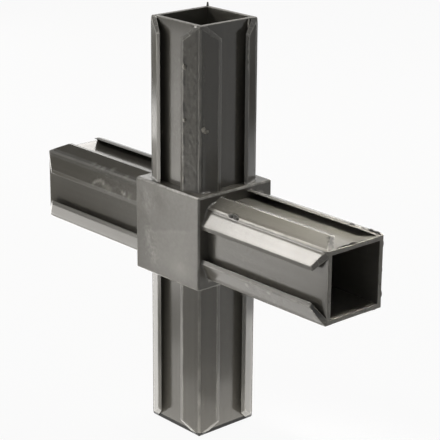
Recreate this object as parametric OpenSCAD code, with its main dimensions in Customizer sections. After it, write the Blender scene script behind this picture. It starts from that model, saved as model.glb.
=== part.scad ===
// Cross connector for square tube, moulded in one piece: a hub as wide as the tube outside,
// and four hollow legs in one plane that push into the tube ends. Each leg is a thin square
// core, and at each of its corners two spring wings flare out over the faces beside it.

/* [Hub] */
// Width of the hub, flush with the outside of the tube
hub_w = 25; // [23:0.5:40]
// Chamfer along the edges of the hub
hub_edge = 0.4; // [0.1:0.1:1]

/* [Leg core] */
// Length of a leg, from the face of the hub to its end
leg_len = 42.5; // [20:0.5:80]
// Outside width of the hollow core
core_w = 18.8; // [16:0.1:20]
// Wall of the core
core_wall = 1.3; // [0.8:0.1:2.5]
// Distance that a leg's bore runs on into the hub
bore_sink = 2; // [0.5:0.5:3]

/* [Spring wings] */
// Width across the wing tips, to press on the inside of the tube
wing_span = 22.8; // [21:0.1:23.6]
// Distance from the middle of a face to the outer edge of a wing's tip
wing_tip = 5.1; // [4.6:0.1:6]
// Width of the tip along the face
tip_w = 1.2; // [0.6:0.1:2]
// Drop of the tip towards the face
tip_drop = 0.2; // [0.05:0.05:0.6]
// Width of a wing's root along the face, from the corner of the core
wing_root = 1.8; // [1.2:0.1:3.2]
// Length of the slanted lead-in at the end of a leg
lead_len = 3.8; // [1:0.2:8]

/* [Parting seam] */
// Width of the seam's flat along each corner of a leg
seam_w = 0.5; // [0.2:0.1:1]
// Height of the seam above the corner
seam_h = 0.15; // [0.05:0.05:0.3]

/* [Hidden] */

half_hub = hub_w / 2;
half_core = core_w / 2;
half_bore = half_core - core_wall;
half_span = wing_span / 2;
leg_end = half_hub + leg_len;
// The seam stands on the diagonal, so its two edges are a little past the corner
seam_out = half_core + seam_h * sqrt(0.5);
seam_side = seam_w * sqrt(0.5) / 2;
// Room past a shape, so that a cut runs clear of its faces
past = 1;

// Outline of the section round one corner of a leg, from the face on +X to the face on +Y
quarter = [
    [half_core, half_core - wing_root],
    [half_span - tip_drop, wing_tip - tip_w],
    [half_span, wing_tip],
    [seam_out + seam_side, seam_out - seam_side],
    [seam_out - seam_side, seam_out + seam_side],
    [wing_tip, half_span],
    [wing_tip - tip_w, half_span - tip_drop],
    [half_core - wing_root, half_core],
];

// A point turned by a whole number of quarter turns
function turned(p, turns) =
    turns == 0 ? p : turned([-p[1], p[0]], turns - 1);

// Whole outline of a leg, with its eight wings
module leg_section() {
    polygon([for (turns = [0:3]) for (p = quarter) turned(p, turns)]);
}

// Side view of a leg: full width over the wings, narrowing to the core at the end
module lead_in_side() {
    polygon([
        [half_span, 0],
        [half_span, leg_end - lead_len],
        [half_core, leg_end],
        [-half_core, leg_end],
        [-half_span, leg_end - lead_len],
        [-half_span, 0],
    ]);
}

// Slab with the side view of a leg, which trims the wings on two opposite faces
module lead_in_slab() {
    rotate([90, 0, 0])
        linear_extrude(height = wing_span + 2 * past, center = true)
            lead_in_side();
}

// One leg along +Z, from the middle of the hub
module leg() {
    intersection() {
        linear_extrude(height = leg_end)
            leg_section();
        lead_in_slab();
        rotate([0, 0, 90])
            lead_in_slab();
    }
}

// Square bore of one leg along +Z, open at its end and closed inside the hub
module bore() {
    translate([-half_bore, -half_bore, half_hub - bore_sink])
        cube([2 * half_bore, 2 * half_bore, leg_len + bore_sink + past]);
}

// Square with chamfered corners, the outline of the hub from each side
module hub_side() {
    flat = half_hub - hub_edge;
    polygon([for (turns = [0:3]) for (p = [[half_hub, -flat], [half_hub, flat]]) turned(p, turns)]);
}

// Bar with the outline of the hub from one side
module hub_bar() {
    linear_extrude(height = hub_w, center = true)
        hub_side();
}

// Hub cube, chamfered along all its edges
module hub() {
    intersection() {
        hub_bar();
        rotate([90, 0, 0])
            hub_bar();
        rotate([0, 90, 0])
            hub_bar();
    }
}

// Places its children along the four legs: up, right, down and left
module each_leg() {
    for (turns = [0:3])
        rotate([0, 90 * turns, 0])
            children();
}

// The whole connector, one moulding
module cross_connector() {
    color([0.29, 0.28, 0.26])
        difference() {
            union() {
                hub();
                each_leg() leg();
            }
            each_leg() bore();
        }
}

cross_connector();
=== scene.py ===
"""Looks of the cross connector for square tube: the moulding, its flash and marks, and a plain studio."""

import math
from typing import NamedTuple

import bmesh
import bpy
from bpy.props import FloatProperty, FloatVectorProperty, IntProperty, PointerProperty
from mathutils import Matrix, Vector, noise
from mathutils.bvhtree import BVHTree
from mathutils.kdtree import KDTree


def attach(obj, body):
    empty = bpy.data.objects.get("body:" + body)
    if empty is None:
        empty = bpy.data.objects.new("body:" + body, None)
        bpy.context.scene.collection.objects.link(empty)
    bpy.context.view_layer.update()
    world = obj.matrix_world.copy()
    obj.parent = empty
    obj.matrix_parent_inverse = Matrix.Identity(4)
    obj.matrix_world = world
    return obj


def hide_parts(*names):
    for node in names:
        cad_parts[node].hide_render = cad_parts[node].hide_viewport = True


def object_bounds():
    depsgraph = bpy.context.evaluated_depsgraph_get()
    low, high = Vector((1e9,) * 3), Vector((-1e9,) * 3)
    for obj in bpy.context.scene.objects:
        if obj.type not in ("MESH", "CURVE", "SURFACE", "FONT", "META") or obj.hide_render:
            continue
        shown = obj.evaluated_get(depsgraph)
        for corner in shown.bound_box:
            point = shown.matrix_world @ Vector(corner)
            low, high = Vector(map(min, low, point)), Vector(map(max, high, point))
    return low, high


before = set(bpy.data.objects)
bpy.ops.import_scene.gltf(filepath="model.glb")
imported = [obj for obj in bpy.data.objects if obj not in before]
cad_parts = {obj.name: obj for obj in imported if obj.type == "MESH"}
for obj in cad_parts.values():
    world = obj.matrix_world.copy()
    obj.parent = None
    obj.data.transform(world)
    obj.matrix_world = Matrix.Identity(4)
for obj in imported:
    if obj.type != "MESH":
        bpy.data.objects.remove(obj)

bl_info = {
    "name": "Square Tube Cross Connector",
    "version": (1, 0, 0),
    "blender": (4, 5, 0),
    "location": "View3D > Sidebar > Connector",
    "description": "Builds the moulded cross connector, its flash marks and a plain studio round it",
    "category": "Add Mesh",
}

MM = 0.001
NODE = "cross_connector"

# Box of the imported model, from which the main sizes are taken
CAD_LOW, CAD_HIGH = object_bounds()
LEG_END = CAD_HIGH.x
HALF_HUB = CAD_HIGH.y
FLOOR_Z = CAD_LOW.z
# Half widths that tell the bore, the core and the wings of a leg apart
HALF_BORE = 8.4 * MM
OUTSIDE = 8.9 * MM

RIGHT = Vector((1, 0, 0))
BACK = Vector((0, 1, 0))
UP = Vector((0, 0, 1))
FRONT = -BACK
LEG_WAYS = (UP, RIGHT, -UP, -RIGHT)

# Points nearer to each other than this are one
SAME = 0.001 * MM
# A face or vertex nearer to a plane than this lies on it
NEAR = 0.05 * MM
# Faces nearer to the end of a leg than this belong to its end
END_DEPTH = 0.35 * MM

# Attributes of the meshes, which the plastic reads
GRAIN_WAY = "grain_way"
# Edge wear, which also carries a painted highlight along the edges
EDGE_WEAR_AND_GLINT = "edge_wear_and_glint"
ROUNDED = "rounded"
SCUFF = "scuff"
# Paler or darker tone, which also carries painted shade
TONE_AND_SHADE = "tone_and_shade"

# Material slots of the moulding's mesh
SKIN, HUB, BORE, END = range(4)

# A wing's section, in millimetres: its edge at the seam and its tip,
# each out from the leg's middle and then along the face
SEAM_EDGE = Vector((9.683, 9.329))
WING_TIP = Vector((11.4, 5.1))


class Mark(NamedTuple):
    """A round place on the skin, in millimetres: its rise, or its strength as a tone or scuff."""

    place: tuple
    reach: float
    rise: float


# Dishes and blisters of the hub's front, where the thick middle shrank
HUB_MARKS = (
    Mark((5.6, -12.5, -8.4), 4.2, -0.07),
    Mark((-5.0, -12.5, 6.5), 5.0, -0.05),
    Mark((-9.0, -12.5, 8.5), 2.0, 0.03),
    Mark((7.6, -12.5, -5.8), 1.3, 0.04),
    Mark((8.3, -12.5, -7.6), 1.2, 0.04),
    Mark((0.4, -12.5, -3.2), 1.5, 0.03),
)
# Dents and lumps on the wings that show
WING_MARKS = (
    Mark((-31.2, -11.0, 5.9), 1.1, 0.035),
    Mark((-29.9, -10.7, 6.7), 1.2, 0.04),
    Mark((-28.2, -10.7, 6.9), 1.1, 0.035),
    Mark((-24.6, -10.9, 6.3), 1.5, 0.045),
    Mark((-19.3, -11.0, 6.0), 0.8, 0.07),
    Mark((-34.3, -8.2, 10.15), 1.2, 0.05),
    Mark((-28.0, -8.4, 10.05), 1.5, 0.05),
    Mark((29.0, -11.0, -6.0), 1.2, 0.08),
    Mark((32.2, -11.0, -6.1), 1.6, -0.10),
    Mark((36.6, -11.1, -5.9), 1.3, -0.09),
    Mark((47.5, -11.2, -5.2), 0.9, -0.08),
)
# Scoop in the lead-in of the right leg's lower wing, where the melt stopped short
LEAD_IN_SCOOP = (
    Mark((52.2, -10.85, -4.95), 0.9, -0.50),
    Mark((52.85, -10.5, -5.55), 1.0, -0.70),
    Mark((53.5, -10.15, -6.2), 0.9, -0.50),
)
# Pale crescents and specks on the wings, then the dark places: at the seam's lumps of flash, then painted
# shade on the right leg's lead-in, a facet that lies in shade, and in the scoop's hollow
TONE_AND_SHADE_MARKS = (
    Mark((-32.4, -11.2, 5.6), 0.8, 1.4),
    Mark((-31.7, -11.0, 6.1), 0.8, 1.8),
    Mark((-30.8, -10.8, 6.5), 0.8, 1.9),
    Mark((-29.8, -10.7, 6.8), 0.8, 1.9),
    Mark((-28.6, -10.8, 6.6), 0.9, 1.7),
    Mark((-27.9, -11.0, 6.0), 1.0, 1.1),
    Mark((-26.4, -11.1, 5.8), 1.2, 1.3),
    Mark((-25.0, -11.2, 5.5), 1.1, 1.0),
    Mark((-20.1, -11.0, 6.0), 0.7, 1.9),
    Mark((-19.2, -11.1, 5.7), 0.7, 1.9),
    Mark((-17.0, -11.3, 5.3), 0.7, 1.4),
    Mark((-35.0, -8.8, 9.9), 1.0, 0.9),
    Mark((-32.6, -9.2, 9.7), 0.9, 1.1),
    Mark((-30.6, -9.1, 9.8), 1.0, 1.2),
    Mark((-27.2, -8.4, 10.05), 1.1, 1.2),
    Mark((-20.6, -9.1, 9.8), 1.0, 1.1),
    Mark((29.0, -11.0, -6.0), 0.8, 1.2),
    Mark((36.6, -11.1, -5.9), 0.7, 0.9),
    Mark((22.2, -9.2, 9.8), 1.0, -1.2),
    Mark((23.0, -9.4, 9.6), 0.9, -1.2),
    # Painted shade on the right leg's lead-in, a facet that lies in shade
    Mark((51.9, -5.5, 11.0), 1.0, -1.2),
    Mark((52.8, -6.5, 10.5), 1.0, -1.2),
    Mark((53.8, -7.4, 10.0), 1.0, -1.2),
    # Painted shade in the scoop's hollow
    Mark((52.2, -10.85, -4.95), 0.9, -1.6),
    Mark((52.85, -10.5, -5.55), 1.1, -1.8),
    Mark((53.5, -10.15, -6.4), 1.0, -1.6),
)
# Scuffed patches: middle, reach and strength
SCUFFED = (
    Mark((7.0, -10.6, 42.0), 11.0, 1.0),
    Mark((7.0, -10.6, 28.0), 11.0, 1.0),
    Mark((-29.0, -10.8, 6.5), 6.0, 1.0),
    Mark((-20.5, -10.8, 6.5), 7.0, 0.8),
    Mark((-6.6, -12.5, -5.0), 5.0, 0.7),
    Mark((-7.5, -12.5, 7.5), 5.0, 0.5),
    Mark((7.0, -12.5, -7.5), 4.5, 0.6),
    Mark((31.0, -11.0, -6.0), 5.0, 0.9),
    Mark((39.0, -11.0, -6.0), 6.0, 0.7),
    Mark((20.0, -7.5, 10.4), 7.0, 0.5),
    Mark((26.0, -10.4, 7.6), 16.0, 0.35),
)
# Rub of the left-hand leg's edges, kept below the others: that leg lies in less light, so its painted edge
# highlight is weaker
LEFT_WEAR_AND_SHADE = 0.78
# Pitted stretch of the upper leg's front wing, from its lower to its upper corner
PITTED_LOW = Vector((5.0, -11.6, 14.0)) * MM
PITTED_HIGH = Vector((9.6, -9.4, 51.0)) * MM
# Way that the pitted wing faces
PITTED_WAY = Vector((0.376, -0.927, 0))
# Darkness of its pits, and of the torn line along its tip
PIT_TONE, TORN_TONE = 0.4, 0.8
# Cuts for the groove beside a seam, in millimetres from the seam: the middle one is the lowest
GROOVE_CUTS = (0.18, 0.42, 0.66)
# Split lines of the core pins: their place across each end of a leg, half width and depth
SPLIT_PLACE = (3.75, -3.3)
SPLIT_HALF_WIDTH = 0.2
SPLIT_DEPTH = 0.3


class Spot(NamedTuple):
    """A soft oval on the hub's front, in millimetres: its middle and its reach each way."""

    x: float
    z: float
    wide: float
    high: float


# Sunk patch of the hub's front, in millimetres: its left border at mid height and that border's lean,
# its top border at mid width and that border's rise, how ragged it is and the width of its fade
PATCH_LEFT, PATCH_LEAN = -8.5, 0.3
PATCH_TOP, PATCH_RISE = 1.2, 0.26
PATCH_RAGGED = 1.1
PATCH_FADE = 6.0
# Curdled border of the patch: its distance from the left border, its width and the height of its curd
BORDER_PLACE, BORDER_WIDTH = 0.9, 2.1
CURD_HEIGHT = 0.055 * MM
# Lumps of the curd per millimetre, coarse and fine
CURD_COARSE, CURD_FINE = 0.7, 1.6
# Bloom above the patch, and the pale dish in its lower corner
UPPER_BLOOM = Spot(-8.0, 6.5, 2.6, 4.5)
PALE_DISH = Spot(5.4, -8.4, 3.4, 2.2)
# Paleness of the patch, its flecks and the dish, and the most that they add up to
PATCH_TONE, FLECK_TONE, DISH_TONE, MOST_TONE = 0.45, 0.8, 0.8, 1.3


class ConnectorShape(bpy.types.PropertyGroup):
    """Sizes of the moulding's edges and of its uneven skin."""

    edge_radius: FloatProperty(
        name="Edge radius", description="Rounding of the outer edges", default=0.12 * MM,
        min=0.02 * MM, max=0.2 * MM, unit="LENGTH", precision=5)
    edge_steps: IntProperty(
        name="Edge steps", description="Faces across a rounded edge", default=2, min=1, max=4)
    cell: FloatProperty(
        name="Cell", description="Size of the cells that carry the uneven skin", default=1.25 * MM,
        min=0.8 * MM, max=5 * MM, unit="LENGTH", precision=5)
    wave_height: FloatProperty(
        name="Wave height", description="Height of the slow waves that shrinkage leaves in the walls",
        default=0.03 * MM, min=0, max=0.2 * MM, unit="LENGTH", precision=6)
    wave_length: FloatProperty(
        name="Wave length", description="Distance between two waves", default=9 * MM,
        min=2 * MM, max=40 * MM, unit="LENGTH", precision=5)
    groove: FloatProperty(
        name="Groove", description="Depth of the fine grooves on both sides of a parting seam",
        default=0.16 * MM, min=0, max=0.3 * MM, unit="LENGTH", precision=5)
    end_taper: FloatProperty(
        name="End taper", description="Draw-in of a leg's last stretch", default=0.1 * MM,
        min=0, max=0.5 * MM, unit="LENGTH", precision=5)
    end_length: FloatProperty(
        name="End length", description="Length of the stretch that draws in", default=1.5 * MM,
        min=0.2 * MM, max=4 * MM, unit="LENGTH", precision=5)
    sink: FloatProperty(
        name="Sink", description="Depth of the sunk patch in the hub's front", default=0.07 * MM,
        min=0, max=0.3 * MM, unit="LENGTH", precision=5)
    pit: FloatProperty(
        name="Pit", description="Depth of the pits in the upper leg's front wing", default=0.05 * MM,
        min=0, max=0.2 * MM, unit="LENGTH", precision=5)


class ConnectorFinish(bpy.types.PropertyGroup):
    """Colours and gloss of the plastic."""

    plastic: FloatVectorProperty(
        name="Plastic", description="Main colour of the moulding", default=(0.150, 0.1445, 0.128),
        min=0, max=1, size=3, subtype="COLOR")
    deep: FloatVectorProperty(
        name="Deep plastic", description="Colour of the darker flow marks", default=(0.122, 0.1175, 0.104),
        min=0, max=1, size=3, subtype="COLOR")
    pale: FloatVectorProperty(
        name="Pale plastic", description="Colour of scuffs and bloom", default=(0.24, 0.234, 0.212),
        min=0, max=1, size=3, subtype="COLOR")
    # Worn colour: rubbed edges, where it also paints their highlight, and the palest tone marks
    worn: FloatVectorProperty(
        name="Worn plastic", description="Colour of rubbed edges", default=(0.36, 0.35, 0.32),
        min=0, max=1, size=3, subtype="COLOR")
    roughness: FloatProperty(
        name="Roughness", description="Mean roughness of the skin", default=0.19, min=0.05, max=1,
        subtype="FACTOR")


class ConnectorStage(bpy.types.PropertyGroup):
    """Camera, paper and surroundings of the studio."""

    lens: FloatProperty(
        name="Lens", description="Focal length on a 36 mm sensor", default=135.0, min=20, max=300,
        unit="CAMERA")
    distance: FloatProperty(
        name="Distance", description="From the middle of the hub to the camera", default=0.431,
        min=0.1, max=5, unit="LENGTH")
    azimuth: FloatProperty(
        name="Azimuth", description="Turn of the camera from the front towards the right-hand leg",
        default=math.radians(48.86), subtype="ANGLE")
    elevation: FloatProperty(
        name="Elevation", description="Height of the camera over the horizon",
        default=math.radians(18.8), subtype="ANGLE")
    roll: FloatProperty(
        name="Roll", description="Turn of the camera about its own axis", default=math.radians(0.44),
        subtype="ANGLE")
    aim: FloatVectorProperty(
        name="Aim", description="Point that the camera looks at", default=(2.85 * MM, 3.27 * MM, 0.98 * MM),
        size=3, subtype="XYZ", unit="LENGTH")
    ambient: FloatProperty(
        name="Ambient", description="Level of the light from all round", default=0.06, min=0, max=2)
    lamp_colour: FloatVectorProperty(
        name="Lamps", description="Colour of the lamps", default=(1.0, 0.965, 0.915), min=0, max=1, size=3,
        subtype="COLOR")
    paper_colour: FloatVectorProperty(
        name="Paper", description="Colour of the paper on the floor", default=(0.86, 0.86, 0.86), min=0,
        max=1, size=3, subtype="COLOR")
    paper_width: FloatProperty(
        name="Paper width", description="Width of the paper, across the view", default=2.4, min=0.2, max=9,
        unit="LENGTH")
    paper_length: FloatProperty(
        name="Paper length", description="Length of the paper, along the view", default=2.4, min=0.2, max=9,
        unit="LENGTH")


# Mesh of the moulding


def merged_copy(node):
    """Bmesh of a CAD node, with its loose triangles merged and its flat faces made whole."""
    bm = bmesh.new()
    bm.from_mesh(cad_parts[node].data)
    bmesh.ops.remove_doubles(bm, verts=bm.verts, dist=SAME)
    bmesh.ops.dissolve_limit(bm, angle_limit=math.radians(0.5), verts=bm.verts, edges=bm.edges)
    return bm


def round_edges(bm, radius, steps):
    """Rounds the outer edges and marks the faces of the rounding."""
    rounded = bm.faces.layers.int.new(ROUNDED)
    least_angle = math.radians(12)
    sharp = [e for e in bm.edges if e.is_convex and e.calc_face_angle(0.0) > least_angle]
    made = bmesh.ops.bevel(
        bm, geom=sharp, offset=radius, offset_type="OFFSET", segments=steps, profile=0.5,
        affect="EDGES", material=-1, clamp_overlap=True)
    for face in made["faces"]:
        face[rounded] = 1


def wear_and_light_edges(bm):
    """Marks the vertices of the rounded edges as rubbed, for their wear and a painted highlight along them,
    once the faces beside them are cut into cells.
    """
    rounded = bm.faces.layers.int[ROUNDED]
    wear_and_glint = bm.verts.layers.float.new(EDGE_WEAR_AND_GLINT)
    for face in bm.faces:
        if face[rounded]:
            for vert in face.verts:
                vert[wear_and_glint] = LEFT_WEAR_AND_SHADE if vert.co.x < -HALF_HUB - SAME else 1.0


def cut(bm, faces, place, normal):
    """Cuts some faces along a plane."""
    edges = dict.fromkeys(e for f in faces for e in f.edges)
    verts = dict.fromkeys(v for f in faces for v in f.verts)
    bmesh.ops.bisect_plane(bm, geom=[*verts, *edges, *faces], dist=SAME, plane_co=place, plane_no=normal)


def cut_cells(bm, cell):
    """Cuts every face into cells, so that the skin can be uneven."""
    for axis, reach in ((RIGHT, CAD_HIGH.x), (BACK, CAD_HIGH.y), (UP, CAD_HIGH.z)):
        count = int(reach / cell)
        for step in range(-count, count):
            cut(bm, bm.faces[:], axis * (step + 0.5) * cell, axis)


def wing_sides(way):
    """For each of a leg's eight wings: its seam edge, the way from the seam to its tip, and its normal."""
    run = (WING_TIP - SEAM_EDGE).normalized()
    for turn in range(4):
        out = BACK.copy()
        out.rotate(Matrix.Rotation(turn * math.pi / 2, 3, way))
        for side in (way.cross(out), -way.cross(out)):
            yield ((out * SEAM_EDGE.x + side * SEAM_EDGE.y) * MM, out * run.x + side * run.y,
                   out * -run.y + side * run.x)


def seam_grooves(bm, depth):
    """Sinks a fine groove on both sides of each parting seam, as the mould's edges leave it."""
    for way in LEG_WAYS:
        for edge, run, normal in wing_sides(way):
            for step in GROOVE_CUTS:
                wing = [f for f in bm.faces if f.normal.dot(normal) > 0.98
                        and f.calc_center_median().dot(way) > HALF_HUB
                        and abs((f.calc_center_median() - edge).dot(normal)) < 2 * NEAR]
                cut(bm, wing, edge + run * step * MM, run)
            lowest = edge + run * GROOVE_CUTS[1] * MM
            for vert in bm.verts:
                off = vert.co - lowest
                on_line = abs(off.dot(run)) < SAME and abs(off.dot(normal)) < NEAR
                if on_line and vert.co.dot(way) > HALF_HUB - SAME:
                    vert.co -= normal * depth


def end_faces(bm, way):
    """Flat faces at the end of the leg that points along way."""
    return [f for f in bm.faces
            if f.normal.dot(way) > 0.99 and f.calc_center_median().dot(way) > LEG_END - NEAR]


def split_lines(bm):
    """Presses the core pins' split lines into the end of each leg."""
    for way in LEG_WAYS:
        for axis, place in ((BACK, SPLIT_PLACE[0]), (way.cross(BACK), SPLIT_PLACE[1])):
            middle = axis * place * MM
            for side in (-1, 0, 1):
                cut(bm, end_faces(bm, way), middle + axis * side * SPLIT_HALF_WIDTH * MM, axis)
            line = dict.fromkeys(v for f in end_faces(bm, way) for v in f.verts
                                 if abs((v.co - middle).dot(axis)) < SAME)
            for vert in line:
                vert.co -= way * SPLIT_DEPTH * MM


def seat(tree, place):
    """Nearest point on the skin to a place in millimetres, and the skin's normal there."""
    point, normal, _, _ = tree.find_nearest(Vector(place) * MM)
    return point, normal


def points_tree(points):
    """Tree that finds the points near a place."""
    tree = KDTree(len(points))
    for index, point in enumerate(points):
        tree.insert(point, index)
    tree.balance()
    return tree


def marked_faces(bm, skin, marks):
    """Faces under some marks."""
    faces = bm.faces[:]
    tree = points_tree([f.calc_center_median() for f in faces])
    found = []
    for mark in marks:
        point, normal = seat(skin, mark.place)
        near = (faces[index] for _, index, _ in tree.find_range(point, mark.reach * MM))
        found += [f for f in near if f.normal.dot(normal) > 0.8]
    return found


def split_faces(bm, faces, least):
    """Splits faces once each way, apart from edges that are short already."""
    edges = dict.fromkeys(e for f in faces for e in f.edges if e.calc_length() > least)
    bmesh.ops.subdivide_edges(bm, edges=list(edges), cuts=1, use_grid_fill=True)


def press(bm, skin, marks):
    """Raises or sinks the skin at each mark."""
    bm.normal_update()
    verts = bm.verts[:]
    tree = points_tree([v.co for v in verts])
    moves = {}
    for mark in marks:
        point, normal = seat(skin, mark.place)
        for _, index, away in tree.find_range(point, mark.reach * MM):
            if verts[index].normal.dot(normal) > 0.5:
                swell = (1 - (away / (mark.reach * MM)) ** 2) ** 2
                moves[index] = moves.get(index, Vector()) + normal * mark.rise * swell * MM
    for index, move in moves.items():
        verts[index].co += move


def tone_and_shade_marks(bm, skin, marks):
    """Makes the plastic paler at each mark, or darker where the mark is below zero, which also paints
    shade.
    """
    layer = bm.verts.layers.float[TONE_AND_SHADE]
    verts = bm.verts[:]
    tree = points_tree([v.co for v in verts])
    for mark in marks:
        point, normal = seat(skin, mark.place)
        for _, index, away in tree.find_range(point, mark.reach * MM):
            vert = verts[index]
            if vert.normal.dot(normal) > 0.5:
                vert[layer] += mark.rise * (1 - (away / (mark.reach * MM)) ** 2)


def step_up(value, low, high):
    """0 below low, 1 above high and a smooth rise in between."""
    share = min(1.0, max(0.0, (value - low) / (high - low)))
    return share * share * (3 - 2 * share)


def on_hub_front(co, normal):
    """Whether a place is on the front of the hub."""
    return normal.dot(FRONT) > 0.9 and co.y < -HALF_HUB + NEAR


def in_pitted(co):
    """Whether a place is in the pitted stretch of the upper leg's front wing."""
    return all(low < c < high for low, c, high in zip(PITTED_LOW, co, PITTED_HIGH))


def bell(spot, x, z):
    """1 in the middle of a spot, and less and less away from it."""
    return math.exp(-(((x - spot.x) / spot.wide) ** 2 + ((z - spot.z) / spot.high) ** 2))


def sink_hub(bm, depth):
    """Sinks the patch in the lower half of the hub's front, and keeps its pale bloom and curdled border."""
    tone_and_shade = bm.verts.layers.float.new(TONE_AND_SHADE)
    half = HALF_HUB / MM
    bm.normal_update()
    for vert in bm.verts:
        if not on_hub_front(vert.co, vert.normal):
            continue
        x, z = vert.co.x / MM, vert.co.z / MM
        ragged = PATCH_RAGGED * noise.noise(Vector((x * 0.55, 3.0, z * 0.55)))
        slant = x - PATCH_LEFT + PATCH_LEAN * z
        inside = min(slant + 0.8 + ragged, PATCH_TOP + PATCH_RISE * x - z + 0.4 * ragged)
        fade = step_up(half - x, 0.0, PATCH_FADE) * step_up(z + half, 0.0, PATCH_FADE)
        patch = step_up(inside, 0.0, 1.0) * fade
        border = math.exp(-(((slant - BORDER_PLACE) / BORDER_WIDTH) ** 2))
        border *= step_up(z, -11, -9) * step_up(-z, -2, 0)
        curdled = border + 0.5 * bell(UPPER_BLOOM, x, z)
        coarse = noise.noise(Vector((x, 7.0, z)) * CURD_COARSE)
        curd = 0.4 * coarse + 0.6 * noise.noise(Vector((x, 2.0, z)) * CURD_FINE)
        vert.co.y += depth * patch - CURD_HEIGHT * curdled * curd
        flecks = (curdled + 0.2 * patch) * step_up(curd, -0.25, 0.35)
        paleness = PATCH_TONE * patch + FLECK_TONE * flecks + DISH_TONE * bell(PALE_DISH, x, z)
        vert[tone_and_shade] = min(MOST_TONE, paleness)


def pit_wing(bm, depth):
    """Pits the front wing of the upper leg, and darkens the pits, most of all along the wing's tip."""
    tone_and_shade = bm.verts.layers.float[TONE_AND_SHADE]
    bm.normal_update()
    for vert in bm.verts:
        if in_pitted(vert.co) and vert.normal.dot(PITTED_WAY) > 0.95:
            spread = Vector((vert.co.x, vert.co.y, vert.co.z * 0.7)) / MM
            pits = step_up(noise.noise(spread * 0.9), 0.05, 0.6) + 0.5 * noise.noise(spread * 1.7)
            vert.co -= PITTED_WAY * depth * pits
            torn = step_up(noise.noise(spread * 0.6), -0.1, 0.3) * step_up(-spread.x, -6.0, -5.4)
            vert[tone_and_shade] -= max(0.0, PIT_TONE * pits) + TORN_TONE * torn


def taper_ends(bm, taper, length):
    """Draws the last stretch of each leg in a little, from its full width to its end."""
    for vert in bm.verts:
        way = max(LEG_WAYS, key=vert.co.dot)
        along = vert.co.dot(way)
        across = vert.co - way * along
        half = max(abs(across.x), abs(across.y), abs(across.z))
        if along > LEG_END - length and half > OUTSIDE:
            share = (along - LEG_END + length) / length
            vert.co -= across / half * taper * share


def scuff_patches(bm, skin, patches):
    """Says how scuffed each vertex is."""
    layer = bm.verts.layers.float.new(SCUFF)
    verts = bm.verts[:]
    tree = points_tree([v.co for v in verts])
    for patch in patches:
        point, normal = seat(skin, patch.place)
        for _, index, away in tree.find_range(point, patch.reach * MM):
            vert = verts[index]
            if vert.normal.dot(normal) > 0.8:
                share = 1 - (away / (patch.reach * MM)) ** 2
                vert[layer] = max(vert[layer], patch.rise * share)


def grain_ways(bm):
    """Keeps for each vertex the coordinates that the grain follows, with the leg's length as the third."""
    layer = bm.verts.layers.float_vector.new(GRAIN_WAY)
    for vert in bm.verts:
        co = vert.co
        sideways = abs(co.x) > abs(co.z) and abs(co.x) > HALF_HUB
        vert[layer] = Vector((co.z, co.y, co.x)) if sideways else co


def wave(bm, height, length):
    """Gives the walls the slow waves of a moulding that shrank as it cooled."""
    bm.normal_update()
    moves = [v.normal * height * noise.noise(v.co / length) for v in bm.verts]
    for vert, move in zip(bm.verts, moves):
        vert.co += move


def sort_faces(bm):
    """Gives each face its material: skin of a leg, hub, bore or the end of a leg."""
    for face in bm.faces:
        middle = face.calc_center_median()
        along = max(abs(middle.x), abs(middle.z))
        across = max(min(abs(middle.x), abs(middle.z)), abs(middle.y))
        if along > LEG_END - END_DEPTH:
            face.material_index = END
        elif across < HALF_BORE:
            face.material_index = BORE
        elif along < HALF_HUB + NEAR:
            face.material_index = HUB


def new_piece(name, bm):
    """Object at the origin from a closed bmesh, shaded smooth apart from its sharp edges."""
    mesh = bpy.data.meshes.new(name)
    bm.to_mesh(mesh)
    bm.free()
    mesh.shade_smooth()
    mesh.set_sharp_from_angle(angle=math.radians(40))
    piece = bpy.data.objects.new(name, mesh)
    bpy.context.scene.collection.objects.link(piece)
    weighted = piece.modifiers.new("even shading", "WEIGHTED_NORMAL")
    weighted.keep_sharp = True
    return piece


# Flash that the mould left


# Material slots of the flash: the dull kind, and the kind that stress turned white, which also paints a
# highlight on the upper leg's wing tip
DULL, WHITENED_AND_GLINT = range(2)


class Pip(NamedTuple):
    """A lump of flash, in millimetres: its place, half width along and across the leg, and height."""

    place: tuple
    long: float
    wide: float
    high: float
    look: int = DULL


class Burr(NamedTuple):
    """A ragged strip of flash along an edge, in millimetres, that stands out along a way."""

    start: tuple
    stop: tuple
    out: tuple
    thick: float
    high: float
    look: int = DULL


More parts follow.
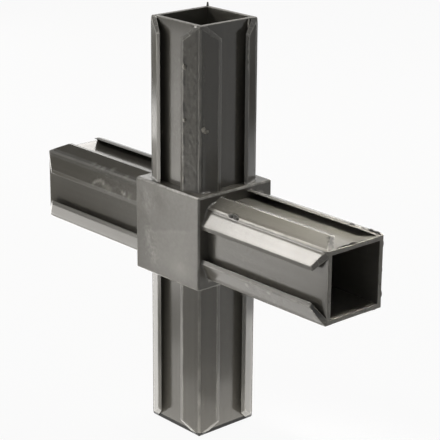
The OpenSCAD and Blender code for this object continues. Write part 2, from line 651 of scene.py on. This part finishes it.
PIPS = (
    Pip((21.4, -9.55, 9.65), 0.85, 0.60, 0.75),
    Pip((22.7, -9.35, 9.60), 0.90, 0.55, 0.65),
    Pip((23.6, -9.7, 9.45), 0.55, 0.45, 0.50),
    Pip((5.54, -11.25, 44.6), 0.75, 0.42, 0.42, WHITENED_AND_GLINT),
    Pip((5.54, -11.25, 31.1), 0.55, 0.45, 0.42, WHITENED_AND_GLINT),
    Pip((9.95, -8.75, 29.0), 0.75, 0.75, 0.40, WHITENED_AND_GLINT),
    Pip((10.15, -8.10, 28.4), 0.50, 0.80, 0.35, WHITENED_AND_GLINT),
    # A painted highlight: a thin pale streak where the tip of the upper leg's front wing catches the light
    Pip((5.3, -11.3, 15.7), 1.3, 0.20, 0.22, WHITENED_AND_GLINT),
)
BURRS = (
    Burr((54.6, -6.5, 9.2), (54.6, 4.0, 9.2), (0, 0, 1), 0.45, 0.55),
    Burr((48.0, 4.7, 11.2), (51.0, 4.9, 11.1), (0.3, 0, 1), 0.60, 0.8),
    Burr((50.8, 4.7, 11.1), (54.8, 8.9, 9.2), (0.3, 0, 1), 0.80, 1.2),
    Burr((54.7, 9.2, -8.6), (54.7, 9.2, 8.6), (0.3, 1, 0), 0.50, 0.50),
    Burr((54.7, 3.0, -9.2), (54.7, 9.0, -9.1), (0.3, 0, -1), 0.45, 0.50),
    Burr((11.2, 4.9, 41.0), (11.2, 5.0, 51.0), (0.4, -1, 0), 0.35, 0.60, WHITENED_AND_GLINT),
    Burr((10.9, 5.1, 51.0), (9.4, 6.4, 54.8), (0.6, -1, 0), 0.35, 0.60, WHITENED_AND_GLINT),
    Burr((-9.2, -6.0, 54.7), (-9.2, 6.0, 54.7), (-1, 0, 0.4), 0.25, 0.25),
)
NUB = Pip((-9.1, 9.1, 55.0), 0.35, 0.35, 0.95)
# Sizes of a ragged strip in millimetres: its root under the skin, its steps and the length of its tears
BURR_ROOT = 0.2
BURR_STEP = 0.35
BURR_TEAR = 1.7
# Width of a strip's crest, as a share of its foot
BURR_CREST = 0.5
# Height of a strip as a share of its full height: its mean, its swing and the least that stays
BURR_MEAN, BURR_SWING, BURR_LEAST = 0.55, 0.9, 0.06
# Power that rounds off both ends of a strip
BURR_ENDS = 0.35
# Unevenness of a lump, as a share of its size, and the length of one bulge in millimetres
PIP_UNEVEN, PIP_BULGE = 0.35, 0.45
# Sprue, in millimetres: its root under the skin, its top as a share of its foot, its bend and
# the length of a bend
NUB_ROOT, NUB_TOP, NUB_BEND, NUB_BEND_LENGTH = 0.3, 0.55, 0.1, 0.5


def paint(verts, look):
    """Gives the faces round some vertices one material of the flash."""
    for vert in verts:
        for face in vert.link_faces:
            face.material_index = look


def join(bm, part):
    """Adds a finished part to a bmesh, and frees the part."""
    mesh = bpy.data.meshes.new("part")
    part.to_mesh(mesh)
    part.free()
    bm.from_mesh(mesh)
    bpy.data.meshes.remove(mesh)


def add_pip(bm, skin, pip):
    """Adds a lump, seated on the skin and a little uneven."""
    point, normal = seat(skin, pip.place)
    along = max((RIGHT, UP), key=lambda way: abs(way.dot(point)))
    along = (along - normal * along.dot(normal)).normalized()
    turn = Matrix((along, normal.cross(along), normal)).transposed().to_4x4()
    size = Matrix.Diagonal((pip.long * MM, pip.wide * MM, pip.high * MM, 1))
    made = bmesh.ops.create_icosphere(
        bm, subdivisions=2, radius=1.0, matrix=Matrix.Translation(point) @ turn @ size)
    for vert in made["verts"]:
        off = vert.co - point
        vert.co += off * PIP_UNEVEN * noise.noise(vert.co / (PIP_BULGE * MM))
    paint(made["verts"], pip.look)


def add_burr(bm, burr):
    """Adds a ragged strip: a thin bar, cut into short lengths, with its outer edge torn."""
    start, stop = Vector(burr.start) * MM, Vector(burr.stop) * MM
    run = stop - start
    way = run.normalized()
    out = Vector(burr.out)
    out = (out - way * out.dot(way)).normalized()
    side = way.cross(out)
    turn = Matrix((side, way, out)).transposed().to_4x4()
    size = Matrix.Diagonal((burr.thick * MM, run.length, (burr.high + BURR_ROOT) * MM, 1))
    middle = start + run / 2 + out * (burr.high - BURR_ROOT) * MM / 2
    strip = bmesh.new()
    bmesh.ops.create_cube(strip, size=1.0, matrix=Matrix.Translation(middle) @ turn @ size)
    long = [e for e in strip.edges
            if abs((e.verts[1].co - e.verts[0].co).normalized().dot(way)) > 0.9]
    cuts = max(8, int(run.length / (BURR_STEP * MM)))
    bmesh.ops.subdivide_edges(strip, edges=long, cuts=cuts, use_grid_fill=True)
    for vert in strip.verts:
        off = vert.co - start
        if off.dot(out) > 0:
            share = min(1.0, max(0.0, off.dot(way) / run.length))
            foot = start + run * share
            torn = BURR_MEAN + BURR_SWING * noise.noise(foot / (BURR_TEAR * MM))
            height = burr.high * MM * max(BURR_LEAST, torn * math.sin(math.pi * share) ** BURR_ENDS)
            vert.co = foot + out * height + side * off.dot(side) * BURR_CREST
    paint(strip.verts, burr.look)
    join(bm, strip)


def add_nub(bm, nub):
    """Adds the torn sprue at the corner of an end."""
    foot = Vector(nub.place) * MM - UP * NUB_ROOT * MM
    depth = nub.high * MM + NUB_ROOT * MM
    made = bmesh.ops.create_cone(
        bm, cap_ends=True, segments=10, radius1=nub.long * MM, radius2=nub.wide * NUB_TOP * MM,
        depth=depth, matrix=Matrix.Translation(foot + UP * depth / 2))
    for vert in made["verts"]:
        bend = NUB_BEND * MM * noise.noise(vert.co / (NUB_BEND_LENGTH * MM))
        vert.co += (RIGHT - BACK) * bend


# Shader nodes


def feed(tree, socket, value):
    """Sets an input to a value, or links it to another node's output."""
    if isinstance(value, bpy.types.NodeSocket):
        tree.links.new(value, socket)
    else:
        socket.default_value = value


def shader_node(tree, kind, inputs=None, **settings):
    """New node with its settings and its inputs."""
    node = tree.nodes.new(kind)
    for name, value in settings.items():
        setattr(node, name, value)
    for name, value in (inputs or {}).items():
        feed(tree, node.inputs[name], value)
    return node


def math_node(tree, operation, first, second, clamp=False):
    """Result of a sum or product of two values."""
    return shader_node(
        tree, "ShaderNodeMath", {0: first, 1: second}, operation=operation, use_clamp=clamp).outputs[0]


def ramp_of(tree, value, low, high, out_low=0.0, out_high=1.0):
    """A value stretched from one range to another, and held inside it."""
    inputs = {"Value": value, "From Min": low, "From Max": high, "To Min": out_low, "To Max": out_high}
    return shader_node(tree, "ShaderNodeMapRange", inputs, clamp=True).outputs["Result"]


def noise_of(tree, vector, per_metre, stretch=1.0, detail=3.0, roughness=0.55):
    """Noise of a given fineness, drawn out along the leg where stretch is over 1."""
    scale = (per_metre, per_metre, per_metre / stretch)
    spread = shader_node(
        tree, "ShaderNodeVectorMath", {0: vector, 1: scale}, operation="MULTIPLY").outputs["Vector"]
    inputs = {"Vector": spread, "Scale": 1.0, "Detail": detail, "Roughness": roughness}
    return shader_node(tree, "ShaderNodeTexNoise", inputs).outputs["Fac"]


def mix_colour(tree, factor, first, second):
    """Mix of two colours."""
    node = shader_node(tree, "ShaderNodeMix", data_type="RGBA")
    for index, value in ((0, factor), (6, first), (7, second)):
        feed(tree, node.inputs[index], value)
    return node.outputs[2]


def mix_scalar(tree, factor, first, second):
    """Mix of two values."""
    part = math_node(tree, "MULTIPLY", second, factor)
    return math_node(tree, "ADD", math_node(tree, "MULTIPLY", first, 1 - factor), part)


def attribute_of(tree, name, output):
    """Output of a mesh attribute."""
    return shader_node(tree, "ShaderNodeAttribute", attribute_name=name).outputs[output]


def group_shell(name, inputs, outputs):
    """Empty node group with named sockets, and its input and output sockets."""
    tree = bpy.data.node_groups.new(name, "ShaderNodeTree")
    for socket, kind in inputs:
        tree.interface.new_socket(socket, in_out="INPUT", socket_type=kind)
    for socket, kind in outputs:
        tree.interface.new_socket(socket, in_out="OUTPUT", socket_type=kind)
    return tree, tree.nodes.new("NodeGroupInput").outputs, tree.nodes.new("NodeGroupOutput").inputs


def flow_mottle(name):
    """Clouds, fine curd and streaks that the melt leaves as it fills the mould."""
    tree, given, put = group_shell(
        name, [("Way", "NodeSocketVector")],
        [("Cloud", "NodeSocketFloat"), ("Curd", "NodeSocketFloat"), ("Streak", "NodeSocketFloat")])
    cloud = noise_of(tree, given["Way"], 130, detail=5.0, roughness=0.62)
    curd = noise_of(tree, given["Way"], 900, detail=3.0, roughness=0.6)
    streak = noise_of(tree, given["Way"], 700, stretch=16, detail=3.0)
    tree.links.new(ramp_of(tree, cloud, 0.3, 0.7), put["Cloud"])
    tree.links.new(ramp_of(tree, curd, 0.3, 0.7), put["Curd"])
    tree.links.new(ramp_of(tree, streak, 0.3, 0.7), put["Streak"])
    return tree


def moulded_grain(name):
    """Height of the mould's fine grain, its polishing lines and the pits of scuffed places."""
    tree, given, put = group_shell(
        name, [("Way", "NodeSocketVector"), ("Scuff", "NodeSocketFloat"), ("Lines", "NodeSocketFloat")],
        [("Height", "NodeSocketFloat")])
    grain = noise_of(tree, given["Way"], 2400, detail=2.0)
    lines = noise_of(tree, given["Way"], 1500, stretch=22, detail=2.0)
    pits = ramp_of(tree, noise_of(tree, given["Way"], 1500, stretch=1.6, detail=2.0), 0.54, 0.72)
    worn = math_node(tree, "MULTIPLY", pits, math_node(tree, "MULTIPLY", given["Scuff"], -2.0))
    height = math_node(tree, "ADD", math_node(tree, "MULTIPLY", lines, given["Lines"]), grain)
    tree.links.new(math_node(tree, "ADD", height, worn), put["Height"])
    return tree


def scuff_marks(name):
    """Masks of the pale flecks in scuffed places, of their dark pits and of rubbed edges, which carry wear
    and a painted edge highlight.
    """
    tree, given, put = group_shell(
        name, [("Way", "NodeSocketVector"), ("Scuff", "NodeSocketFloat"), ("Edge", "NodeSocketFloat")],
        [("Fleck", "NodeSocketFloat"), ("Pit", "NodeSocketFloat"), ("Rub and glint", "NodeSocketFloat")])
    fleck = ramp_of(tree, noise_of(tree, given["Way"], 1150, stretch=1.8, detail=4.0), 0.54, 0.68)
    pit = ramp_of(tree, noise_of(tree, given["Way"], 1500, stretch=1.6, detail=2.0), 0.54, 0.72)
    broken = ramp_of(tree, noise_of(tree, given["Way"], 420, stretch=3.0, detail=3.0), 0.32, 0.62)
    edge = ramp_of(tree, given["Edge"], 0.72, 1.0)
    tree.links.new(math_node(tree, "MULTIPLY", fleck, given["Scuff"], clamp=True), put["Fleck"])
    tree.links.new(math_node(tree, "MULTIPLY", pit, given["Scuff"], clamp=True), put["Pit"])
    tree.links.new(math_node(tree, "MULTIPLY", broken, edge, clamp=True), put["Rub and glint"])
    return tree


def shared_group(maker):
    """A node group that all areas of the plastic share, made once."""
    name = maker.__name__.replace("_", " ").capitalize()
    return bpy.data.node_groups.get(name) or maker(name)


def group_node(tree, maker, inputs):
    """Outputs of a shared group, placed in a material."""
    node = tree.nodes.new("ShaderNodeGroup")
    node.node_tree = shared_group(maker)
    for name, value in inputs.items():
        feed(tree, node.inputs[name], value)
    return node.outputs


class PlasticLook(NamedTuple):
    """What sets one area's plastic apart: shade, extra roughness, grain and shares of its marks."""

    name: str
    shade: float
    dull: float
    grain: float
    lines: float
    streak: float
    curd: float


LOOKS = {
    SKIN: PlasticLook("grey_plastic_skin", 1.0, 0.0, 0.3, 1.0, 0.5, 0.1),
    HUB: PlasticLook("grey_plastic_hub", 1.0, 0.03, 0.45, 0.0, 0.0, 0.7),
    # The bore and the ends are paler than the skin: painted light, which stands in for light that falls
    # into the bore and onto the ends
    BORE: PlasticLook("grey_plastic_bore", 1.2, 0.16, 0.6, 0.6, 0.4, 0.2),
    END: PlasticLook("grey_plastic_end", 1.9, 0.25, 0.8, 0.0, 0.0, 0.5),
}
FLASH_LOOKS = {
    DULL: PlasticLook("grey_plastic_flash", 0.35, 0.25, 0.8, 0.0, 0.0, 0.5),
    WHITENED_AND_GLINT: PlasticLook("grey_plastic_whitened", 2.6, 0.15, 0.8, 0.0, 0.0, 0.5),
}


# Shades of pits and of dark marks, which include painted shade in the scoop and on the right leg's lead-in,
# as shares of the deep colour
PIT_SHADE, DARK_MARK_AND_SHADE = 0.4, 0.2
# How far each mark covers the plastic under it
PIT_SHARE, FLECK_SHARE, RUB_AND_GLINT_SHARE = 0.55, 0.5, 0.7
PALE_SHARE, WORN_SHARE, DARK_AND_SHADE_SHARE = 0.8, 0.9, 0.9
# Roughness: its swing with the flow marks, and what flecks add to it
ROUGHNESS_SWING, FLECK_DULL = 0.03, 0.1
# Strength of the mirror image, and height of the grain
GLOSS = 0.4
GRAIN_HEIGHT = 0.008 * MM


def plastic(look, finish):
    """Satin moulded plastic of one area."""
    material = bpy.data.materials.new(look.name)
    material.use_nodes = True
    tree = material.node_tree
    shader = tree.nodes["Principled BSDF"]
    way = attribute_of(tree, GRAIN_WAY, "Vector")
    scuff = attribute_of(tree, SCUFF, "Fac")
    edge = attribute_of(tree, EDGE_WEAR_AND_GLINT, "Fac")
    tone_and_shade = attribute_of(tree, TONE_AND_SHADE, "Fac")
    flow = group_node(tree, flow_mottle, {"Way": way})
    marks = group_node(tree, scuff_marks, {"Way": way, "Scuff": scuff, "Edge": edge})
    grain = group_node(tree, moulded_grain, {"Way": way, "Scuff": scuff, "Lines": look.lines})
    main = [c * look.shade for c in finish.plastic] + [1]
    deep = [c * look.shade for c in finish.deep] + [1]
    pale = [*finish.pale, 1]
    worn = [*finish.worn, 1]
    pitted = [c * PIT_SHADE * look.shade for c in finish.deep] + [1]
    dark_and_shade = [c * DARK_MARK_AND_SHADE for c in finish.deep] + [1]
    drawn = mix_scalar(tree, look.streak, flow["Cloud"], flow["Streak"])
    soft = mix_scalar(tree, look.curd, drawn, flow["Curd"])
    colour = mix_colour(tree, soft, deep, main)
    colour = mix_colour(tree, math_node(tree, "MULTIPLY", marks["Pit"], PIT_SHARE), colour, pitted)
    colour = mix_colour(tree, math_node(tree, "MULTIPLY", marks["Fleck"], FLECK_SHARE), colour, pale)
    colour = mix_colour(tree, ramp_of(tree, tone_and_shade, 0.0, 1.0, 0.0, PALE_SHARE), colour, pale)
    colour = mix_colour(tree, ramp_of(tree, tone_and_shade, 1.0, 2.0, 0.0, WORN_SHARE), colour, worn)
    # Rubbed edges: wear, and a painted highlight along them
    colour = mix_colour(tree, math_node(tree, "MULTIPLY", marks["Rub and glint"], RUB_AND_GLINT_SHARE), colour, worn)
    # Marks below zero: dark marks, and painted shade in the scoop and on the right leg's lead-in
    colour = mix_colour(tree, ramp_of(tree, tone_and_shade, 0.0, -1.0, 0.0, DARK_AND_SHADE_SHARE), colour, dark_and_shade)
    tree.links.new(colour, shader.inputs["Base Color"])
    mean = finish.roughness + look.dull
    dull = ramp_of(tree, soft, 0.0, 1.0, mean + ROUGHNESS_SWING, mean - ROUGHNESS_SWING)
    dull = math_node(tree, "ADD", dull, math_node(tree, "MULTIPLY", marks["Fleck"], FLECK_DULL))
    tree.links.new(dull, shader.inputs["Roughness"])
    shader.inputs["Specular IOR Level"].default_value = GLOSS
    inputs = {"Height": grain["Height"], "Strength": look.grain, "Distance": GRAIN_HEIGHT}
    bump = shader_node(tree, "ShaderNodeBump", inputs)
    tree.links.new(bump.outputs["Normal"], shader.inputs["Normal"])
    return material


class CONNECTOR_OT_moulding(bpy.types.Operator):
    """Build the moulding: the hub, the four legs and their wings"""

    bl_idname = "connector.moulding"
    bl_label = "Moulding"

    def execute(self, context):
        shape = context.scene.connector_shape
        finish = context.scene.connector_finish
        bm = merged_copy(NODE)
        round_edges(bm, shape.edge_radius, shape.edge_steps)
        seam_grooves(bm, shape.groove)
        split_lines(bm)
        cut_cells(bm, shape.cell)
        skin = BVHTree.FromBMesh(bm)
        self.refine(bm, skin, shape.cell)
        wear_and_light_edges(bm)
        wave(bm, shape.wave_height, shape.wave_length)
        sink_hub(bm, shape.sink)
        pit_wing(bm, shape.pit)
        tone_and_shade_marks(bm, skin, TONE_AND_SHADE_MARKS)
        press(bm, skin, (*HUB_MARKS, *WING_MARKS, *LEAD_IN_SCOOP))
        taper_ends(bm, shape.end_taper, shape.end_length)
        bm.normal_update()
        scuff_patches(bm, skin, SCUFFED)
        grain_ways(bm)
        sort_faces(bm)
        piece = new_piece("moulding", bm)
        for slot in sorted(LOOKS):
            piece.data.materials.append(plastic(LOOKS[slot], finish))
        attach(piece, "root")
        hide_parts(NODE)
        return {"FINISHED"}

    @staticmethod
    def refine(bm, skin, cell):
        """Splits the cells on the hub's front, on the pitted wing and under the marks."""
        marks = (*WING_MARKS, *LEAD_IN_SCOOP, *TONE_AND_SHADE_MARKS)
        for least in (0.5 * cell, 0.25 * cell):
            faces = marked_faces(bm, skin, marks)
            for face in bm.faces:
                middle = face.calc_center_median()
                if on_hub_front(middle, face.normal) or in_pitted(middle):
                    faces.append(face)
            split_faces(bm, faces, least)


class CONNECTOR_OT_flash(bpy.types.Operator):
    """Build the flash: lumps, ragged strips and a torn sprue that the mould left"""

    bl_idname = "connector.flash"
    bl_label = "Flash"

    def execute(self, context):
        skin_mesh = bmesh.new()
        skin_mesh.from_mesh(bpy.data.objects["moulding"].data)
        skin = BVHTree.FromBMesh(skin_mesh)
        skin_mesh.free()
        bm = bmesh.new()
        for pip in PIPS:
            add_pip(bm, skin, pip)
        for burr in BURRS:
            add_burr(bm, burr)
        add_nub(bm, NUB)
        bmesh.ops.recalc_face_normals(bm, faces=bm.faces)
        grain_ways(bm)
        piece = new_piece("flash", bm)
        for slot in sorted(FLASH_LOOKS):
            piece.data.materials.append(plastic(FLASH_LOOKS[slot], context.scene.connector_finish))
        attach(piece, "root")
        return {"FINISHED"}


# Studio


class Softbox(NamedTuple):
    """A flat light, in metres: its middle, the point that it faces, the way of its height, its radiance."""

    name: str
    place: tuple
    faces: tuple
    upright: tuple
    width: float
    height: float
    radiance: float
    spread: float = math.pi


# Way on the floor from the hub towards what its front face mirrors
GLINT_WAY = (-0.76, -0.65, 0)
# Spread of the lamps that have a grid
KEY_GRID = math.radians(30)
LEG_GRID = math.radians(24)
# Height of the lit cards and of the black ones over the paper
CARD_LIFT = 1 * MM
FLAG_LIFT = 2 * MM
# Share of plain white in the paper that is seen; the rest is lit paper, which carries the shadow
PAPER_GLOW = 0.94


def card(name, x, y, upright, width, height, radiance):
    """A softbox that lies on the floor and shines upwards."""
    level = FLOOR_Z + CARD_LIFT
    return Softbox(name, (x, y, level), (x, y, level + 1), upright, width, height, radiance)


SOFTBOXES = (
    Softbox("key", (-0.130, -0.192, 0.062), (0.040, -0.010, 0.008), UP, 0.080, 0.070, 23.0, KEY_GRID),
    card("near_card", -0.0761, -0.1572, GLINT_WAY, 0.14, 0.12, 2.6),
    card("far_card", -0.228, -0.287, GLINT_WAY, 0.14, 0.30, 3.9),
    card("light_table", -0.1525, 0.0175, BACK, 0.365, 0.125, 1.4),
    Softbox("leg_light", (0.048, 0.012, 0.15), (0.048, 0, 0.01), BACK, 0.05, 0.02, 280.0, LEG_GRID),
    Softbox("edge_light", (-0.185, -0.105, 0.20), (0.02, -0.011, 0.011), RIGHT, 0.035, 0.06, 20.0),
    Softbox("left_light", (-0.29, 0.174, 0.092), (-0.045, 0.003, 0.009), UP, 0.07, 0.07, 3.0),
    Softbox("back_fill", (-0.10, 0.42, 0.36), (0, 0, 0), UP, 0.35, 0.30, 3.0),
    Softbox("left_fill", (-0.50, 0.06, 0.08), (0, 0, 0), UP, 0.30, 0.20, 2.4),
)


class Flag(NamedTuple):
    """A black card that some faces mirror, in metres: its middle, the point that it faces and its size."""

    name: str
    place: tuple
    faces: tuple
    upright: tuple
    width: float
    height: float


def floor_flag(name, x, y, width, height):
    """A black card that lies on the floor."""
    level = FLOOR_Z + FLAG_LIFT
    return Flag(name, (x, y, level), (x, y, level + 1), BACK, width, height)


# The left-hand leg mirrors three of these and the upper leg's wings the others
FLAGS = (
    floor_flag("flag_left", -0.185, -0.0825, 0.11, 0.075),
    floor_flag("flag_back", 0.0, 0.45, 0.14, 0.34),
    floor_flag("flag_far_left", -0.435, 0.05, 0.16, 0.16),
    Flag("flag_front_left", (-0.262, -0.196, 0.066), (-0.033, -0.010, 0.008), UP, 0.11, 0.08),
    Flag("flag_upper_left", (-0.261, 0.058, 0.194), (-0.033, -0.008, 0.010), UP, 0.10, 0.10),
)


def facing(item):
    """Matrix that puts a lamp or card in its place, turned towards the point that it faces."""
    back = (Vector(item.place) - Vector(item.faces)).normalized()
    side = Vector(item.upright).cross(back).normalized()
    turn = Matrix((side, back.cross(side), back)).transposed().to_4x4()
    return Matrix.Translation(item.place) @ turn


def add_softbox(scene, stage, box):
    """Adds one flat light, which the camera doesn't see."""
    light = bpy.data.lights.new(box.name, "AREA")
    light.color = stage.lamp_colour
    light.shape = "RECTANGLE"
    light.size, light.size_y = box.width, box.height
    half_spread = box.spread / 2
    gathered = 1 - half_spread / math.tan(half_spread) if box.spread < math.pi else 1
    light.energy = math.pi * box.width * box.height * box.radiance * gathered
    light.spread = box.spread
    lamp = bpy.data.objects.new(box.name, light)
    lamp.matrix_world = facing(box)
    lamp.visible_camera = False
    scene.collection.objects.link(lamp)


def add_camera(scene, stage):
    """Camera at the photograph's viewing angle."""
    data = bpy.data.cameras.new("camera")
    data.lens = stage.lens
    data.sensor_width = 36
    camera = bpy.data.objects.new("camera", data)
    out = Vector((
        math.sin(stage.azimuth) * math.cos(stage.elevation),
        -math.cos(stage.azimuth) * math.cos(stage.elevation),
        math.sin(stage.elevation),
    ))
    camera.location = out * stage.distance
    look = (Vector(stage.aim) - camera.location).to_track_quat("-Z", "Y").to_matrix()
    camera.rotation_euler = (look @ Matrix.Rotation(stage.roll, 3, "Z")).to_euler()
    scene.collection.objects.link(camera)
    scene.camera = camera


def seen_rays(tree):
    """1 for rays from the camera, a mirror or glass, 0 for the light that falls on things."""
    path = tree.nodes.new("ShaderNodeLightPath").outputs
    mirror = math_node(tree, "MAXIMUM", path["Is Glossy Ray"], path["Is Transmission Ray"])
    return math_node(tree, "MAXIMUM", path["Is Camera Ray"], mirror)


def add_sheet(scene, name, material, matrix, width, height):
    """Adds a flat sheet to the stage."""
    bm = bmesh.new()
    size = Matrix.Scale(width, 4, RIGHT) @ Matrix.Scale(height, 4, BACK)
    bmesh.ops.create_grid(bm, x_segments=1, y_segments=1, size=0.5, matrix=matrix @ size)
    mesh = bpy.data.meshes.new(name)
    bm.to_mesh(mesh)
    bm.free()
    mesh.materials.append(material)
    sheet = bpy.data.objects.new(name, mesh)
    scene.collection.objects.link(sheet)
    return sheet


def matte(name, colour):
    """Material with one dull colour, and its tree and shader."""
    material = bpy.data.materials.new(name)
    material.use_nodes = True
    shader = material.node_tree.nodes["Principled BSDF"]
    shader.inputs["Base Color"].default_value = (*colour, 1)
    shader.inputs["Roughness"].default_value = 1.0
    shader.inputs["Specular IOR Level"].default_value = 0.0
    return material, material.node_tree, shader


def add_floor(scene, stage):
    """White paper that keeps the object's shadow."""
    material, tree, shader = matte("paper_white", stage.paper_colour)
    glow = shader_node(tree, "ShaderNodeEmission", {"Color": (1, 1, 1, 1), "Strength": 1.0})
    share = math_node(tree, "MULTIPLY", seen_rays(tree), PAPER_GLOW)
    blend = shader_node(
        tree, "ShaderNodeMixShader", {0: share, 1: shader.outputs[0], 2: glow.outputs[0]})
    tree.links.new(blend.outputs[0], tree.nodes["Material Output"].inputs["Surface"])
    matrix = Matrix.Translation((0, 0, FLOOR_Z)) @ Matrix.Rotation(stage.azimuth, 4, "Z")
    add_sheet(scene, "floor", material, matrix, stage.paper_width, stage.paper_length)


def add_flags(scene):
    """Black cards that the camera doesn't see, which keep some faces dark."""
    material, _, _ = matte("card_black", (0.02, 0.02, 0.02))
    for flag in FLAGS:
        sheet = add_sheet(scene, flag.name, material, facing(flag), flag.width, flag.height)
        sheet.visible_camera = False


def add_world(scene, stage):
    """White surroundings, which light the object only a little from all round."""
    world = bpy.data.worlds.new("studio")
    scene.world = world
    world.use_nodes = True
    tree = world.node_tree
    background = tree.nodes["Background"]
    background.inputs["Color"].default_value = (1, 1, 1, 1)
    strength = ramp_of(tree, seen_rays(tree), 0.0, 1.0, stage.ambient, 1.0)
    tree.links.new(strength, background.inputs["Strength"])


class CONNECTOR_OT_stage(bpy.types.Operator):
    """Build the paper floor, the lights and the camera"""

    bl_idname = "connector.stage"
    bl_label = "Stage"

    def execute(self, context):
        scene = context.scene
        stage = scene.connector_stage
        scene.view_settings.view_transform = "Standard"
        add_camera(scene, stage)
        add_floor(scene, stage)
        add_flags(scene)
        add_world(scene, stage)
        for softbox in SOFTBOXES:
            add_softbox(scene, stage, softbox)
        return {"FINISHED"}


class CONNECTOR_PT_sidebar(bpy.types.Panel):
    """Lists the connector's operators"""

    bl_label = "Cross Connector"
    bl_idname = "CONNECTOR_PT_sidebar"
    bl_space_type = "VIEW_3D"
    bl_region_type = "UI"
    bl_category = "Connector"

    def draw(self, context):
        for operator in OPERATORS:
            self.layout.operator(operator.bl_idname)


OPERATORS = (CONNECTOR_OT_moulding, CONNECTOR_OT_flash, CONNECTOR_OT_stage)
GROUPS = {
    "connector_shape": ConnectorShape,
    "connector_finish": ConnectorFinish,
    "connector_stage": ConnectorStage,
}


def register():
    for name, group in GROUPS.items():
        bpy.utils.register_class(group)
        setattr(bpy.types.Scene, name, PointerProperty(type=group))
    for cls in (*OPERATORS, CONNECTOR_PT_sidebar):
        bpy.utils.register_class(cls)


def unregister():
    for cls in (CONNECTOR_PT_sidebar, *reversed(OPERATORS)):
        bpy.utils.unregister_class(cls)
    for name, group in GROUPS.items():
        delattr(bpy.types.Scene, name)
        bpy.utils.unregister_class(group)


def main():
    register()
    bpy.ops.connector.moulding()
    bpy.ops.connector.flash()
    bpy.ops.connector.stage()
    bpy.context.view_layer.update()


if __name__ == "__main__":
    main()
